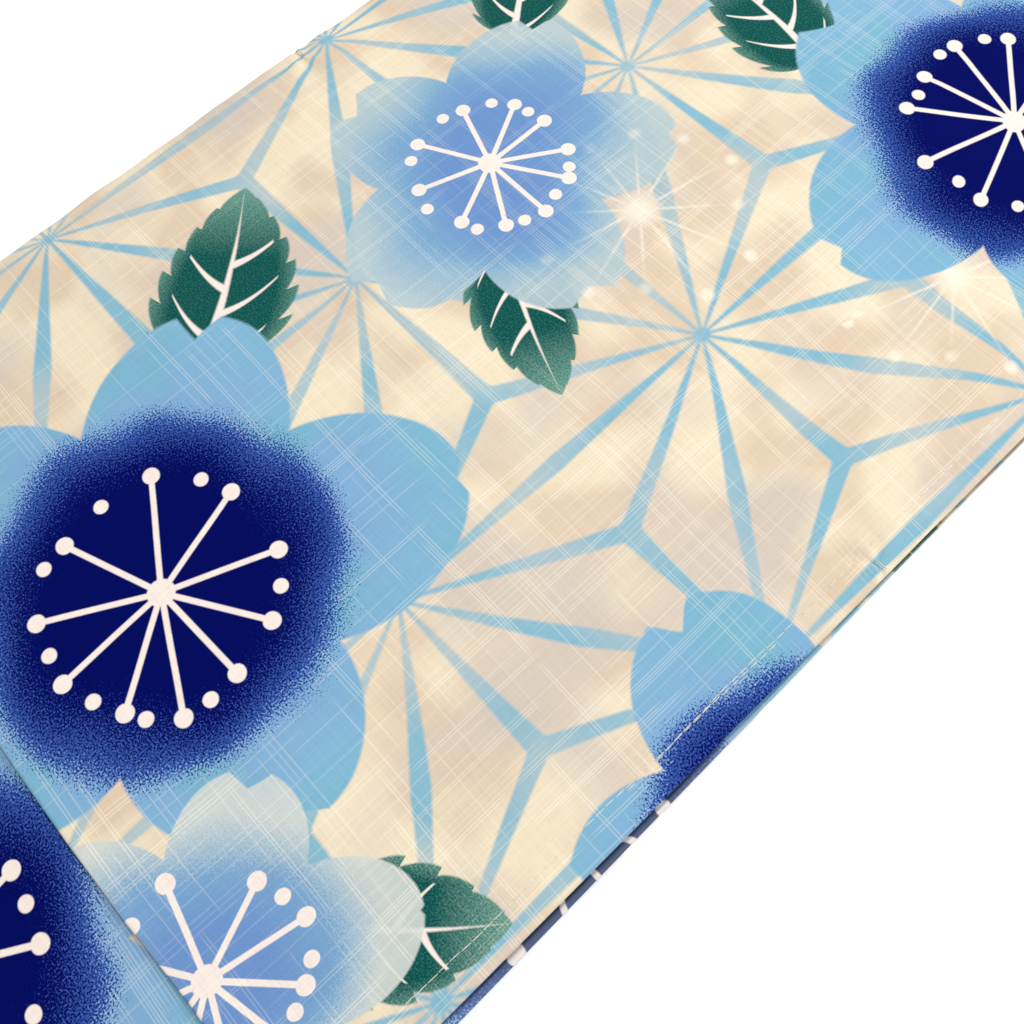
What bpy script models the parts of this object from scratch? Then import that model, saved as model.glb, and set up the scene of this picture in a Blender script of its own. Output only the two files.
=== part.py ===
"""A cotton yukata, folded flat for storage, with its back uppermost.

The robe is folded at its centre back seam, so that both side seams lie on the +Y side, and then
across the waist, with the skirt half turned under. The left sleeve lies on the top of the pile with
its cuff towards -Y, and the right sleeve lies in the middle of it. +X points to the shoulder end.
The origin is under the middle of the pile, and the pile rests on the plane z = 0.

Cloth is a wall of even thickness. Walls that lie on each other are a seam gap apart.
"""
import math

import bmesh
import bpy
from mathutils import Vector

MM = 0.001
NAME = "yukata_robe"

# Cloth
CLOTH = 0.0010
SEAM_GAP = 0.0003
BAG_GAP = 0.0020
OPEN_EDGE_SHARE = 0.9

# Sizes of the finished garment
SLEEVE_WIDTH = 0.330
SLEEVE_LENGTH = 0.505
SLEEVE_OPENING = 0.250
SLEEVE_CORNER = 0.020
BACK_WIDTH = 0.300
NECK_HALF_WIDTH = 0.090
COLLAR_REACH = 0.0355
COLLAR_CORE = 0.0014

# Places in the folded pile
WAIST_X = -0.420
SHOULDER_X = 0.380
HEM_X = 0.420
HEM_STEP = 0.003
SIDE_Y = 0.165
CENTRE_Y = SIDE_Y - BACK_WIDTH
ARM_Y = SIDE_Y + 0.003
CUFF_Y = ARM_Y - SLEEVE_WIDTH
LOWER_CUFF_Y = CUFF_Y - 0.006
SLEEVE_END_X = SHOULDER_X - SLEEVE_LENGTH
STOP_X = SHOULDER_X - SLEEVE_OPENING

# Lengths over which a sleeve's opening and its roll over the pile's side come in
OPENING_EASE = 0.022
ROLL_EASE = 0.024

# Thickness of the hidden fronts and overlaps, across the pile: y in metres, layer in millimetres
ACROSS = (
    (CENTRE_Y, 0.0),
    (-0.108, 0.0),
    (-0.092, 0.8),
    (-0.074, 2.4),
    (-0.045, 3.4),
    (0.000, 3.7),
    (0.060, 3.7),
    (0.090, 3.1),
    (0.120, 2.4),
    (0.148, 2.0),
    (0.159, 1.5),
    (SIDE_Y, 0.7),
)

# Space between the two halves of the pile, along it: x in metres, space in millimetres
ALONG = (
    (WAIST_X, 2.2),
    (-0.400, 1.9),
    (-0.360, 1.1),
    (-0.310, 0.5),
    (-0.250, 0.3),
    (-0.165, 0.3),
    (-0.146, 1.7),
    (-0.128, 3.6),
    (SHOULDER_X, 3.6),
)

# How much of the layer is left near the rounded shoulder fold: x in metres, share from 0 to 1
SHOULDER = (
    (0.362, 1.0),
    (0.372, 0.86),
    (0.377, 0.62),
    (SHOULDER_X, 0.30),
)

# Height of the upper face of each sleeve's rest where it hangs past the pile: y, millimetres
UPPER_OVERHANG = (
    (CUFF_Y - 0.001, 3.7),
    (-0.156, 4.3),
    (-0.148, 5.6),
    (-0.1405, 7.3),
)
LOWER_OVERHANG = (
    (LOWER_CUFF_Y - 0.001, 0.1),
    (-0.152, 0.2),
    (-0.145, 0.7),
    (-0.139, 1.7),
)

# Largest soft ridges of the top sleeve: from the sleeve's end, from the armhole edge, half sizes
RIDGE_COLUMNS = ("up", "in", "half_up", "half_in", "height")
RIDGES = (
    (0.196, 0.150, 0.010, 0.080, 1.3),
    (0.262, 0.030, 0.016, 0.042, 0.9),
    (0.250, 0.300, 0.015, 0.040, 1.0),
    (0.058, 0.255, 0.018, 0.060, 0.8),
    (0.400, 0.200, 0.022, 0.110, 0.9),
)

# Drop of the top sleeve where it rolls over the side of the pile, at the armhole and below it
ROLL_AT_ARMHOLE = 0.0042
ROLL_AT_SLIT = 0.0012

# Points of that roll: distance out from the pile's side, share of the drop
ROLL = (
    (0.0022, 0.25),
    (0.0030, 1.00),
)

# Rows of points
BODY_ROWS = tuple(row[0] for row in ACROSS)
RUN_ROWS = (-0.400, -0.360, -0.310, -0.250, -0.165, -0.146, -0.128, -0.080, 0.0, 0.100, 0.200,
            0.300, 0.362, 0.372, 0.377)
BEND_STEPS = 7
FRONT_LAYERS = 4
LAYER_BULGE = 0.0009
FRONT_LOW_Y = -0.0905
FRONT_HIGH_Y = 0.1610

COLOURS = {
    "left_sleeve": (0.86, 0.73, 0.54),
    "right_sleeve": (0.05, 0.06, 0.30),
    "left_back": (0.30, 0.55, 0.72),
    "right_back": (0.62, 0.72, 0.78),
    "folded_fronts": (0.72, 0.62, 0.50),
    "collar": (0.80, 0.68, 0.52),
    "collar_cover": (0.40, 0.62, 0.74),
}


def between(table, place):
    """The second column of a table at a place, on straight lines between its rows."""
    if place <= table[0][0]:
        return table[0][1]
    for low, high in zip(table, table[1:]):
        if place <= high[0]:
            share = (place - low[0]) / (high[0] - low[0])
            return low[1] + share * (high[1] - low[1])
    return table[-1][1]


def soft_step(value):
    """0 below 0, 1 above 1 and a soft rise between them."""
    value = min(max(value, 0.0), 1.0)
    return value * value * (3.0 - 2.0 * value)


def hidden_layer(y):
    """Room between the two back panels for the hidden fronts, with a seam gap on each side."""
    layer = between(ACROSS, y) * MM
    second_gap = min(layer / (ACROSS[2][1] * MM), 1.0)
    return layer + SEAM_GAP * (1.0 + second_gap)


def upper_layer(x, y):
    """The same room in the upper half, rounded down towards the shoulder fold."""
    return SEAM_GAP + (hidden_layer(y) - SEAM_GAP) * between(SHOULDER, x)


def space(x):
    """Room between the two halves of the pile."""
    return between(ALONG, x) * MM


def lower_top(y):
    """Height of the top of the lower half of the pile."""
    return 2.0 * CLOTH + hidden_layer(y)


def upper_bottom(x, y):
    """Height of the underside of the upper half of the pile."""
    return lower_top(y) + space(x)


def pile_top(x, y):
    """Height of the top of the pile, under the top sleeve."""
    return upper_bottom(x, y) + 2.0 * CLOTH + upper_layer(x, y)


def upper_rest(x, y):
    """Height that the top sleeve lies on."""
    if y >= CENTRE_Y:
        return pile_top(x, y)
    edge = pile_top(x, CENTRE_Y)
    table = UPPER_OVERHANG + ((CENTRE_Y, edge / MM),)
    return between(table, y) * MM


def lower_rest(y):
    """Height that the right sleeve lies on."""
    if y >= CENTRE_Y:
        return lower_top(y)
    table = LOWER_OVERHANG + ((CENTRE_Y, lower_top(CENTRE_Y) / MM),)
    return between(table, y) * MM


def collection():
    """The collection that holds the robe."""
    found = bpy.data.collections.get(NAME)
    if found is None:
        found = bpy.data.collections.new(NAME)
        bpy.context.scene.collection.children.link(found)
    return found


def cloth_material(name):
    """A plain woven cotton finish for one piece."""
    material = bpy.data.materials.new(name + "_cotton")
    material.use_nodes = True
    shader = material.node_tree.nodes["Principled BSDF"]
    shader.inputs["Base Color"].default_value = (*COLOURS[name], 1.0)
    shader.inputs["Roughness"].default_value = 0.85
    shader.inputs["Metallic"].default_value = 0.0
    return material


def finish(name, mesh_builder, wall=None):
    """Turn a bmesh into the named object, with a cloth wall where one is asked for."""
    bmesh.ops.recalc_face_normals(mesh_builder, faces=mesh_builder.faces)
    mesh = bpy.data.meshes.new(name)
    mesh_builder.to_mesh(mesh)
    mesh_builder.free()
    mesh.materials.append(cloth_material(name))
    mesh.shade_smooth()
    item = bpy.data.objects.new(name, mesh)
    collection().objects.link(item)
    if wall:
        solidify = item.modifiers.new("cloth", "SOLIDIFY")
        solidify.thickness = wall
        solidify.offset = 0.0
        solidify.use_rim = True
    return item


def add_grid(builder, rows, flip=False):
    """Faces over a grid of vertices, which may share vertices with another grid."""
    for near, far in zip(rows, rows[1:]):
        for left in range(len(near) - 1):
            corners = [near[left], near[left + 1], far[left + 1], far[left]]
            if flip:
                corners.reverse()
            if len(set(corners)) == 4:
                builder.faces.new(corners)


def make_bag(name, upper, lower, sewn):
    """Two sheets, one over the other, that share their points where sewn(i, j) is true."""
    builder = bmesh.new()
    top_rows = [[builder.verts.new(point) for point in row] for row in upper]
    low_rows = []
    for i, row in enumerate(lower):
        low_rows.append([top_rows[i][j] if sewn(i, j) else builder.verts.new(point)
                         for j, point in enumerate(row)])
    add_grid(builder, top_rows)
    add_grid(builder, low_rows, flip=True)
    return finish(name, builder, wall=CLOTH)


def fold_profile(distance):
    """Share of the bag's half height at a distance in from a fold: a quarter circle."""
    radius = BAG_GAP / 2.0
    inside = 1.0 - min(max(distance, 0.0) / radius, 1.0)
    return math.sqrt(max(1.0 - inside * inside, 0.0))


def cuff_line(cuff_y, up):
    """y of a sleeve's cuff edge, which comes in to the top sleeve's edge at the tack."""
    turned = (CUFF_Y - cuff_y) * min(up / (SLEEVE_LENGTH - SLEEVE_OPENING), 1.0)
    rise = max(SLEEVE_CORNER - up, 0.0)
    rounded = SLEEVE_CORNER - math.sqrt(SLEEVE_CORNER ** 2 - rise ** 2)
    return cuff_y + turned + rounded


def bag_half_height(up, width_in, cuff_open):
    """Half the space between a sleeve's sheets, closed at its end, shoulder fold and cuff seam."""
    ends = fold_profile(up) * fold_profile(SLEEVE_LENGTH - up)
    sewn = fold_profile(width_in)
    loose = OPEN_EDGE_SHARE + (1.0 - OPEN_EDGE_SHARE) * sewn
    return BAG_GAP / 2.0 * ends * (sewn + (loose - sewn) * cuff_open)


def sleeve_ups(extra):
    """Distances up from the sleeve's end at which its sheets have points."""
    fold = (0.0, 0.0003, 0.0010)
    rounded = tuple(SLEEVE_CORNER * (1.0 - math.cos(turn * math.pi / 8.0)) for turn in (2, 3, 4))
    top = tuple(SLEEVE_LENGTH - value for value in fold)
    end = (SHOULDER[0][0], SHOULDER[1][0], SHOULDER[2][0])
    shoulder = tuple(x - SLEEVE_END_X for x in end)
    return sorted(set(fold + rounded + top + shoulder + tuple(extra)))


def ridge_height(up, width_in):
    """Height of the soft ridges at a place of the top sleeve."""
    total = 0.0
    for ridge in RIDGES:
        row = dict(zip(RIDGE_COLUMNS, ridge))
        along = (up - row["up"]) / row["half_up"]
        across = (width_in - row["in"]) / row["half_in"]
        total += row["height"] * MM * max(1.0 - along * along - across * across, 0.0)
    return total


def sleeve_sheets(cuff_y, arm_y, ups, rows_y, rest, ridged):
    """Points of the upper and lower sheet of a sleeve, row by row up from its end."""
    stop_up = STOP_X - SLEEVE_END_X
    upper = []
    lower = []
    for up in ups:
        x = SLEEVE_END_X + up
        edge = cuff_line(cuff_y, up)
        squeeze = (CENTRE_Y - edge) / (CENTRE_Y - cuff_y)
        cuff_open = soft_step((up - stop_up) / OPENING_EASE)
        high_row = []
        low_row = []
        for y_plain in rows_y:
            y = max(y_plain, CENTRE_Y) + min(y_plain - CENTRE_Y, 0.0) * squeeze
            half = bag_half_height(up, y_plain - cuff_y, cuff_open)
            middle = rest(x, y) + SEAM_GAP + CLOTH / 2.0 + BAG_GAP / 2.0
            lift = ridge_height(up, arm_y - y) if ridged else 0.0
            high_row.append(Vector((x, y, middle + half + lift * half / (BAG_GAP / 2.0))))
            low_row.append(Vector((x, y, middle - half)))
        upper.append(high_row)
        lower.append(low_row)
    return upper, lower


def roll_over_side(upper, ups):
    """Add points to the upper sheet where it rolls down over the side of the pile."""
    stop_up = STOP_X - SLEEVE_END_X
    for row, up in zip(upper, ups):
        attached = soft_step((up - stop_up) / ROLL_EASE + 0.5)
        drop = ROLL_AT_SLIT + (ROLL_AT_ARMHOLE - ROLL_AT_SLIT) * attached
        last = row[-1]
        for out, share in ROLL:
            row.append(last + Vector((0.0, out, -share * drop)))


def build_left_sleeve():
    """The left sleeve, a flat bag on the top of the pile."""
    extra = (0.058, 0.095, 0.140, 0.178, 0.187, 0.196, 0.205, 0.214, 0.235, 0.250,
             STOP_X - SLEEVE_END_X, 0.266, 0.280, 0.330, 0.385, 0.400, 0.415, 0.450)
    ups = sleeve_ups(extra)
    edge_rows = (CUFF_Y, CUFF_Y + 0.0003, CUFF_Y + 0.0010)
    hang_rows = tuple(row[0] for row in UPPER_OVERHANG[1:])
    rows_y = sorted(set(edge_rows + hang_rows + BODY_ROWS + (0.030,)))
    upper, lower = sleeve_sheets(CUFF_Y, SIDE_Y, ups, rows_y, upper_rest, True)
    roll_over_side(upper, ups)
    stop_up = STOP_X - SLEEVE_END_X
    last = len(ups) - 1
    return make_bag("left_sleeve", upper, lower,
                    lambda i, j: i in (0, last) or (j == 0 and ups[i] <= stop_up))


def build_right_sleeve():
    """The right sleeve, the same bag in the middle of the pile, turned a little outwards."""
    extra = (0.060, 0.150, STOP_X - SLEEVE_END_X, 0.280, 0.380)
    ups = sleeve_ups(extra)
    edge_rows = (LOWER_CUFF_Y, LOWER_CUFF_Y + 0.0003, LOWER_CUFF_Y + 0.0010)
    hang_rows = tuple(row[0] for row in LOWER_OVERHANG[1:])
    inner = tuple(y for y in BODY_ROWS if y < SIDE_Y) + (SIDE_Y - 0.003,)
    rows_y = sorted(set(edge_rows + hang_rows + inner))
    upper, lower = sleeve_sheets(LOWER_CUFF_Y, SIDE_Y - 0.003, ups, rows_y,
                                 lambda x, y: lower_rest(y), False)
    stop_up = STOP_X - SLEEVE_END_X
    last = len(ups) - 1
    return make_bag("right_sleeve", upper, lower,
                    lambda i, j: i in (0, last) or (j == 0 and ups[i] <= stop_up))


def folded_column(y, inset, hem_x, shoulder_x):
    """Points of one column that runs from the hem under the pile, round the waist and back.

    inset is how far the column lies in from the outer face of the pile, as a function of the
    height of the hidden layer, so that concentric walls stay parallel round the bend.
    """
    half = lower_top(y) + space(WAIST_X) / 2.0
    centre_x = WAIST_X + half
    points = [Vector((hem_x, y, inset(hidden_layer(y))))]
    for x in reversed(RUN_ROWS + (SHOULDER_X,)):
        if x < hem_x - 0.005:
            points.append(Vector((x, y, inset(hidden_layer(y)))))
    radius = half - inset(hidden_layer(y))
    for step in range(BEND_STEPS + 1):
        angle = math.pi * step / BEND_STEPS
        points.append(Vector((centre_x - radius * math.sin(angle), y,
                              half - radius * math.cos(angle))))
    for x in RUN_ROWS + (shoulder_x,):
        if x <= shoulder_x:
            points.append(Vector((x, y, pile_top(x, y) - inset(upper_layer(x, y)))))
    return points


def build_back(name, inset, hem_x, shoulder_x):
    """One back panel, a wall folded round the waist, made of a column for each row of points."""
    builder = bmesh.new()
    rows = [[builder.verts.new(point) for point in folded_column(y, inset, hem_x, shoulder_x)]
            for y in BODY_ROWS]
    add_grid(builder, rows)
    return finish(name, builder, wall=CLOTH)


def build_fronts():
    """The hidden fronts and overlaps, one rounded solid with a bulge for each layer's edge."""
    hem_x = HEM_X - HEM_STEP
    shoulder_x = SHOULDER_X - HEM_STEP
    rows_y = (FRONT_LOW_Y,) + tuple(y for y in BODY_ROWS if FRONT_LOW_Y < y < FRONT_HIGH_Y)
    rows_y += (FRONT_HIGH_Y,)
    outer_inset = CLOTH + SEAM_GAP
    levels = 2 * FRONT_LAYERS

    def grid(share):
        def inset(layer):
            return outer_inset + share * max(layer - 2.0 * SEAM_GAP, 0.0001)
        return [folded_column(y, inset, hem_x, shoulder_x) for y in rows_y]

    builder = bmesh.new()
    outer = [[builder.verts.new(point) for point in column] for column in grid(0.0)]
    inner = [[builder.verts.new(point) for point in column] for column in grid(1.0)]
    add_grid(builder, outer)
    add_grid(builder, inner, flip=True)
    last_row = len(rows_y) - 1
    last_point = len(outer[0]) - 1
    rim = [(0, j) for j in range(last_point)]
    rim += [(i, last_point) for i in range(last_row)]
    rim += [(last_row, j) for j in range(last_point, 0, -1)]
    rim += [(i, 0) for i in range(last_row, 0, -1)]
    bands = [[outer[i][j] for i, j in rim]]
    for level in range(1, levels):
        between_faces = grid(level / levels)
        bulge = LAYER_BULGE if level % 2 else 0.0
        band = []
        for i, j in rim:
            point = between_faces[i][j].copy()
            point.y += bulge * ((i == last_row) - (i == 0))
            point.x += bulge * (j in (0, last_point))
            band.append(builder.verts.new(point))
        bands.append(band)
    bands.append([inner[i][j] for i, j in rim])
    count = len(rim)
    for high, low in zip(bands, bands[1:]):
        for k in range(count):
            after = (k + 1) % count
            builder.faces.new([high[k], high[after], low[after], low[k]])
    return finish("folded_fronts", builder)


def collar_edge(share):
    """x of the collar's outer edge at a share of its way from the centre back to the front."""
    return SHOULDER_X + 0.0008 + COLLAR_REACH * (1.0 - share ** 3.2) ** 0.5


def collar_grid(shares_y, shares_x, edge_in, height):
    """Points of one face of the collar, from the neck seam out to its folded edge."""
    start_x = SHOULDER_X + 0.0008 + edge_in
    start_y = CENTRE_Y + edge_in
    length_y = NECK_HALF_WIDTH - 2.0 * edge_in
    rows = []
    for share_y in shares_y:
        y = start_y + length_y * share_y
        reach = max(collar_edge(share_y) - edge_in - start_x, 0.0012)
        row = []
        for share_x in shares_x:
            x = start_x + reach * share_x
            down = soft_step((x - SHOULDER_X) / COLLAR_REACH)
            high = upper_bottom(SHOULDER_X, y) - 0.0006
            low = lower_top(y) + SEAM_GAP
            row.append(Vector((x, y, high + (low - high) * down + height(share_y, share_x))))
        rows.append(row)
    return rows


def build_collar():
    """The collar band, and the collar cover folded over it."""
    half = (COLLAR_CORE + CLOTH) / 2.0 + SEAM_GAP
    shares_y = (0.0, 0.012, 0.035, 0.20, 0.38, 0.54, 0.68, 0.80, 0.90, 0.965, 0.99)
    shares_x = (0.0, 0.25, 0.50, 0.75, 0.93, 0.98, 1.0)
    middle = CLOTH / 2.0 + half

    def cover_half(share_y, share_x):
        edge = math.sqrt(max(1.0 - max((share_x - 0.93) / 0.07, 0.0) ** 2, 0.0))
        near = math.sqrt(max(1.0 - max((0.035 - share_y) / 0.035, 0.0) ** 2, 0.0))
        far = math.sqrt(max(1.0 - max((share_y - 0.90) / 0.09, 0.0) ** 2, 0.0))
        return half * edge * near * far

    upper = collar_grid(shares_y, shares_x, 0.0, lambda a, b: middle + cover_half(a, b))
    lower = collar_grid(shares_y, shares_x, 0.0, lambda a, b: middle - cover_half(a, b))
    last_y = len(shares_y) - 1
    last_x = len(shares_x) - 1
    make_bag("collar_cover", upper, lower, lambda i, j: i in (0, last_y) or j == last_x)

    core_y = (0.0, 0.20, 0.40, 0.56, 0.70, 0.80)
    core_x = (0.0, 0.35, 0.70, 1.0)
    builder = bmesh.new()
    edge_in = 0.0032
    high_points = collar_grid(core_y, core_x, edge_in, lambda a, b: middle + COLLAR_CORE / 2.0)
    low_points = collar_grid(core_y, core_x, edge_in, lambda a, b: middle - COLLAR_CORE / 2.0)
    high = [[builder.verts.new(point) for point in row] for row in high_points]
    low = [[builder.verts.new(point) for point in row] for row in low_points]
    add_grid(builder, high)
    add_grid(builder, low, flip=True)
    last_y = len(core_y) - 1
    last_x = len(core_x) - 1
    rim = [(0, j) for j in range(last_x)]
    rim += [(i, last_x) for i in range(last_y)]
    rim += [(last_y, j) for j in range(last_x, 0, -1)]
    rim += [(i, 0) for i in range(last_y, 0, -1)]
    for k, (i, j) in enumerate(rim):
        m, n = rim[(k + 1) % len(rim)]
        builder.faces.new([high[i][j], high[m][n], low[m][n], low[i][j]])
    finish("collar", builder)


def main():
    """Clear the scene and build the folded robe."""
    for item in list(bpy.data.objects):
        bpy.data.objects.remove(item, do_unlink=True)
    build_left_sleeve()
    build_right_sleeve()
    build_back("left_back", lambda layer: CLOTH / 2.0, HEM_X, SHOULDER_X)
    build_back("right_back", lambda layer: CLOTH * 1.5 + layer, HEM_X - 2.0 * HEM_STEP, SHOULDER_X)
    build_fronts()
    build_collar()


main()
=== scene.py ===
# %% [markdown]
# # A cotton yukata, folded flat
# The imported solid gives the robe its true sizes. This lesson dresses it: each piece of cloth
# becomes a thin sheet that lies where its solid lies, and a printed cotton is mixed from nodes.
# The left sleeve on the top of the pile, which the camera looks at, gets the most work.

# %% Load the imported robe
import math

import bpy
from mathutils import Matrix, Vector


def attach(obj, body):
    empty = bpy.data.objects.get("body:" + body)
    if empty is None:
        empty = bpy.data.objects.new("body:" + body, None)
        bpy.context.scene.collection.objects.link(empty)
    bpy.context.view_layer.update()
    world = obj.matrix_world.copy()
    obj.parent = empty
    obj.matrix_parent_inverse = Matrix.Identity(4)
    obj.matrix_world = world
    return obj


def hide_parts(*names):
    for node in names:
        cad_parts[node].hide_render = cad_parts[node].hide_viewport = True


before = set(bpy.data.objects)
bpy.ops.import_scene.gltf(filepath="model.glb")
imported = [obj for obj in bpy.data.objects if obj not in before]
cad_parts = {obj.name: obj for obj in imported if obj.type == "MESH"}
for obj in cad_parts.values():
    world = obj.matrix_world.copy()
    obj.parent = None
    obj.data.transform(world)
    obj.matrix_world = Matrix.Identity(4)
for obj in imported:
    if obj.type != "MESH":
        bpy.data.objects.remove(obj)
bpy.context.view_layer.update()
MM = 0.001
CM = 0.01


# %% [markdown]
# ## Camera
# The robe lies on a table and is seen from close above, so near threads look larger than far
# ones. The lens and the place were worked out from the sleeve's edges and its printed stars.

# %% Camera
CAMERA_PLACE = Vector((-0.01542, -0.16121, 0.32870))
CAMERA_FORWARD = Vector((0.19997, 0.30363, -0.93169)).normalized()
CAMERA_UP = Vector((0.64828, 0.67197, 0.35818)).normalized()
CAMERA_LENS = 33.89
CAMERA_SENSOR = 36.0

bpy.ops.object.camera_add(location=CAMERA_PLACE)
camera = bpy.context.object
camera.data.lens = CAMERA_LENS
camera.data.sensor_width = CAMERA_SENSOR
camera.data.clip_start = 0.01
right = CAMERA_FORWARD.cross(CAMERA_UP).normalized()
up = right.cross(CAMERA_FORWARD)
camera.rotation_euler = Matrix((right, up, -CAMERA_FORWARD)).transposed().to_euler()
bpy.context.scene.camera = camera
print("camera", round(camera.data.angle, 3))


# %% [markdown]
# ## Floor and light
# A white sheet of card under a wide, soft lamp and an even white surround. The lamp stands beyond
# the shoulder end, so the sleeve's end throws a soft shadow on the back panel.

# %% Floor and light
FLOOR_HALF = 4.0
LAMP_PLACE = Vector((1.15, -0.35, 1.7))
LAMP_WIDTH = 1.7
LAMP_POWER = 35.0
SURROUND = 0.51

scene = bpy.context.scene
scene.view_settings.view_transform = "Standard"


def deselect():
    """Leaves nothing selected, so that an operator acts on the next piece only."""
    for item in list(bpy.context.selected_objects):
        item.select_set(False)


def new_material(name):
    """A new material, its node tree and its main shader."""
    material = bpy.data.materials.new(name)
    material.use_nodes = True
    return material, material.node_tree, material.node_tree.nodes["Principled BSDF"]


deselect()
bpy.ops.mesh.primitive_plane_add(size=2.0 * FLOOR_HALF, location=(0.0, 0.0, 0.0))
floor = bpy.context.object
floor.name = "floor"
bpy.ops.object.transform_apply(scale=True)
floor_card, _, card_shader = new_material("floor_card")
card_shader.inputs["Base Color"].default_value = (1.0, 1.0, 1.0, 1.0)
card_shader.inputs["Roughness"].default_value = 0.9
floor.data.materials.append(floor_card)

bpy.ops.object.light_add(type="AREA", location=LAMP_PLACE)
lamp = bpy.context.object
lamp.data.shape = "DISK"
lamp.data.size = LAMP_WIDTH
lamp.data.energy = LAMP_POWER
lamp.rotation_euler = (-LAMP_PLACE).to_track_quat("-Z", "Y").to_euler()
world = bpy.data.worlds.new("surround")
scene.world = world
world.use_nodes = True
surround = world.node_tree.nodes.get("Background") or world.node_tree.nodes.new("ShaderNodeBackground")
surround.inputs["Color"].default_value = (1.0, 1.0, 1.0, 1.0)
surround.inputs["Strength"].default_value = SURROUND
print("lamp", lamp.name, "surround", SURROUND)


# %% [markdown]
# ## Sums drawn as nodes
# A printed pattern is a long sum: distances, angles and edges. Each step of it is a Math node.
# Small classes let the sums be written as ordinary ones: `a * b + 1.0` adds the two nodes that
# work it out. A Number changes from place to place on the cloth, and a Spot is a pair of them.

# %% Sums drawn as nodes
def add_node(tree, kind, **settings):
    """A node of a kind, with its settings."""
    node = tree.nodes.new(kind)
    for key, value in settings.items():
        setattr(node, key, value)
    return node


def feed(tree, socket, value):
    """Puts a number, a colour or another node's output into a socket."""
    value = getattr(value, "out", value)
    if isinstance(value, bpy.types.NodeSocket):
        tree.links.new(value, socket)
    else:
        socket.default_value = value


def give(node, **values):
    """Feeds the inputs of a node by their names, with _ for a space."""
    for label, value in values.items():
        feed(node.id_data, node.inputs[label.replace("_", " ")], value)


class Value:
    """An output of a node, with the sums that numbers and spots share."""

    def __init__(self, tree, out):
        self.tree = tree
        self.out = out

    def __add__(self, other):
        return self.step("ADD", other)

    def __sub__(self, other):
        return self.step("SUBTRACT", other)

    def __mul__(self, other):
        return self.step("MULTIPLY", other)


class Number(Value):
    """A number that changes over the cloth."""

    def step(self, operation, *others, clamp=False, swap=False):
        node = add_node(self.tree, "ShaderNodeMath", operation=operation, use_clamp=clamp)
        values = (*others, self) if swap else (self, *others)
        for socket, value in zip(node.inputs, values):
            feed(self.tree, socket, value)
        return Number(self.tree, node.outputs[0])

    def __radd__(self, other):
        return self.step("ADD", other)

    def __rsub__(self, other):
        return self.step("SUBTRACT", other, swap=True)

    def __rmul__(self, other):
        return self.step("MULTIPLY", other)

    def __truediv__(self, other):
        return self.step("DIVIDE", other)

    def __abs__(self):
        return self.step("ABSOLUTE")

    def __lt__(self, other):
        return self.step("LESS_THAN", other)

    def __gt__(self, other):
        return self.step("GREATER_THAN", other)

    def least(self, other):
        return self.step("MINIMUM", other)

    def most(self, other):
        return self.step("MAXIMUM", other)

    def edge(self, softness):
        """1 where the number is above 0, 0 below, with an edge of that softness."""
        return self.step("MULTIPLY_ADD", 1.0 / softness, 0.5, clamp=True)

    def ramp(self, low, high):
        """0 at low, 1 at high, with an even rise between."""
        return self.step("MULTIPLY_ADD", 1.0 / (high - low), -low / (high - low), clamp=True)

    def chance(self):
        """A number from 0 to 1 drawn by lot for each value."""
        node = add_node(self.tree, "ShaderNodeTexWhiteNoise", noise_dimensions="1D")
        feed(self.tree, node.inputs["W"], self)
        return Number(self.tree, node.outputs["Value"])


class Spot(Value):
    """A place on the cloth, in centimetres: first along it, then across it."""

    def step(self, operation, *others):
        node = add_node(self.tree, "ShaderNodeVectorMath", operation=operation)
        for socket, value in zip(node.inputs, (self, *others)):
            feed(self.tree, socket, value)
        return Spot(self.tree, node.outputs[0])

    def length(self):
        node = add_node(self.tree, "ShaderNodeVectorMath", operation="LENGTH")
        feed(self.tree, node.inputs[0], self)
        return Number(self.tree, node.outputs["Value"])

    def parts(self):
        node = add_node(self.tree, "ShaderNodeSeparateXYZ")
        feed(self.tree, node.inputs[0], self)
        return tuple(Number(self.tree, socket) for socket in node.outputs)

    def split(self):
        return self.parts()[:2]

    def wrap(self, half_along, half_across):
        """The place within a repeat that lies round zero."""
        return self.step("WRAP", (half_along, half_across, 1.0), (-half_along, -half_across, -1.0))

    def turn(self, degrees, size):
        """The place turned back by an angle, in units of a size."""
        node = add_node(self.tree, "ShaderNodeMapping", vector_type="TEXTURE")
        give(node, Vector=self, Rotation=(0.0, 0.0, math.radians(degrees)), Scale=(size, size, 1.0))
        return Spot(self.tree, node.outputs[0])

    def cloud(self, per_cm, detail=0.0, rough=0.5):
        """Soft noise about a number of blotches to the centimetre."""
        node = add_node(self.tree, "ShaderNodeTexNoise", noise_dimensions="2D")
        give(node, Vector=self, Scale=per_cm, Detail=detail, Roughness=rough)
        return Number(self.tree, node.outputs[0])


def spot_of(along, across):
    """A Spot made of two Numbers."""
    node = add_node(along.tree, "ShaderNodeCombineXYZ")
    feed(along.tree, node.inputs[0], along)
    feed(along.tree, node.inputs[1], across)
    return Spot(along.tree, node.outputs[0])


def angle_of(spot):
    """Turns from 0 to 1 round zero, and the distance from it."""
    along, across = spot.split()
    return across.step("ARCTAN2", along) / (2.0 * math.pi), spot.length()


def choose(mask, off, on, kind="RGBA"):
    """Off where the mask is 0 and on where it is 1."""
    tree = mask.tree
    node = add_node(tree, "ShaderNodeMix", data_type=kind)
    feed(tree, node.inputs[0], mask)
    first = {"VECTOR": 4, "RGBA": 6}[kind]
    feed(tree, node.inputs[first], off)
    feed(tree, node.inputs[first + 1], on)
    return node.outputs[{"VECTOR": 1, "RGBA": 2}[kind]]


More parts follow.
